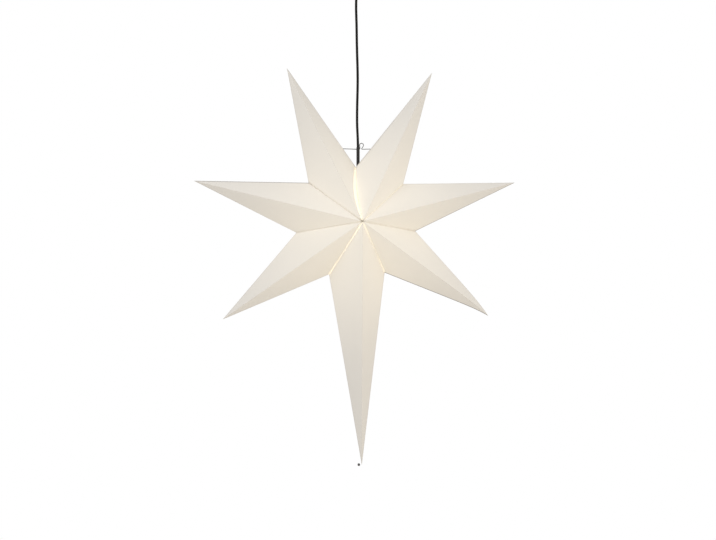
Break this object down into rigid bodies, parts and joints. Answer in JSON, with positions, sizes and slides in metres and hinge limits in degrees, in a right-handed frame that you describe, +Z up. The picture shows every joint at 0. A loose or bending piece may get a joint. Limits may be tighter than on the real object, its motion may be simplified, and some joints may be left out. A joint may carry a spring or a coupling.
{
  "type": "paper star pendant lamp",
  "caption": "Hanging folded paper star with creased points round an open top seam, a long point below, a wire hanger, a cord, an inner screw lamp holder and a ceiling canopy.",
  "frame": {"origin": "on the ceiling, at the middle of the bracket's top face between its two slots", "axes": "+Z up, against the ceiling; the star faces -Y; +X to the viewer's right"},
  "size_m": [0.6412, 0.16, 1.0414],
  "materials": {
    "card": "matte white card",
    "black_plastic": "satin black",
    "cord_sheath": "satin black sheath",
    "nylon": "natural nylon",
    "core_brown": "brown insulation",
    "core_blue": "blue insulation",
    "steel": "zinc plated",
    "wire_steel": "bright wire",
    "brass": "plain brass",
    "thermoset": "moulded thermoset",
    "nickel": "nickel plated",
    "bulb_glass": "clear",
    "filament": "warm phosphor",
    "bead": "dark bead"
  },
  "bodies": {
    "ceiling_fitting": {"ceiling_bracket": "steel", "ceiling_canopy": "black_plastic", "canopy_screws": "steel", "cord_gland": "black_plastic", "gland_nut": "black_plastic", "gland_washer": "black_plastic", "gland_grip_screw": "nylon", "terminal_block": "nylon", "terminal_tubes": "brass", "terminal_clamp_screws": "steel", "terminal_bolt": "steel", "cord_clamped_end": "cord_sheath", "ceiling_live_core": "core_brown", "ceiling_neutral_core": "core_blue"},
    "hanging_cord": {"cord": "cord_sheath"},
    "lamp_holder": {"cord_clip": "black_plastic", "hanger_wire": "wire_steel", "cord_lead": "cord_sheath", "holder_cap": "black_plastic", "holder_grip_screw": "nylon", "holder_skirt": "black_plastic", "holder_insert": "thermoset", "holder_screw_sleeve": "brass", "holder_centre_contact": "brass", "holder_terminal_screws": "steel", "holder_live_core": "core_brown", "holder_neutral_core": "core_blue"},
    "paper_star": {"point_top_left": "card", "point_left": "card", "point_lower_left": "card", "point_long_bottom": "card", "point_lower_right": "card", "point_right": "card", "point_top_right": "card", "hanger_eyelets": "card", "tip_bead": "bead"},
    "bulb_lift": {"bulb_insulator": "thermoset", "bulb_contact": "nickel"},
    "bulb": {"bulb_screw_cap": "nickel", "bulb_globe": "bulb_glass", "bulb_stem": "bulb_glass", "bulb_filaments": "filament"}
  },
  "joints": [
    {"name": "cord_swing", "type": "hinge", "parent": "ceiling_fitting", "child": "hanging_cord", "pos_m": [0, 0, -0.0759], "axis": [0, 1, 0], "range_deg": [-15, 15]},
    {"name": "cord_twist", "type": "hinge", "parent": "hanging_cord", "child": "lamp_holder", "pos_m": [0, 0, -0.398], "axis": [0, 0, 1], "range_deg": [-180, 180]},
    {"name": "star_rock", "type": "hinge", "parent": "lamp_holder", "child": "paper_star", "pos_m": [0, 0, -0.395], "axis": [1, 0, 0], "range_deg": [-8, 8]},
    {"name": "bulb_lift", "type": "slide", "parent": "lamp_holder", "child": "bulb_lift", "axis": [0, 0, -1], "range_m": [0, 0.00846]},
    {"name": "bulb_turn", "type": "hinge", "parent": "bulb_lift", "child": "bulb", "pos_m": [0, 0, -0.515], "axis": [0, 0, -1], "range_deg": [0, 1080]}
  ],
  "couplings": [
    {"joint": "bulb_turn", "follows": "bulb_lift", "rad_per_m": 2228}
  ]
}
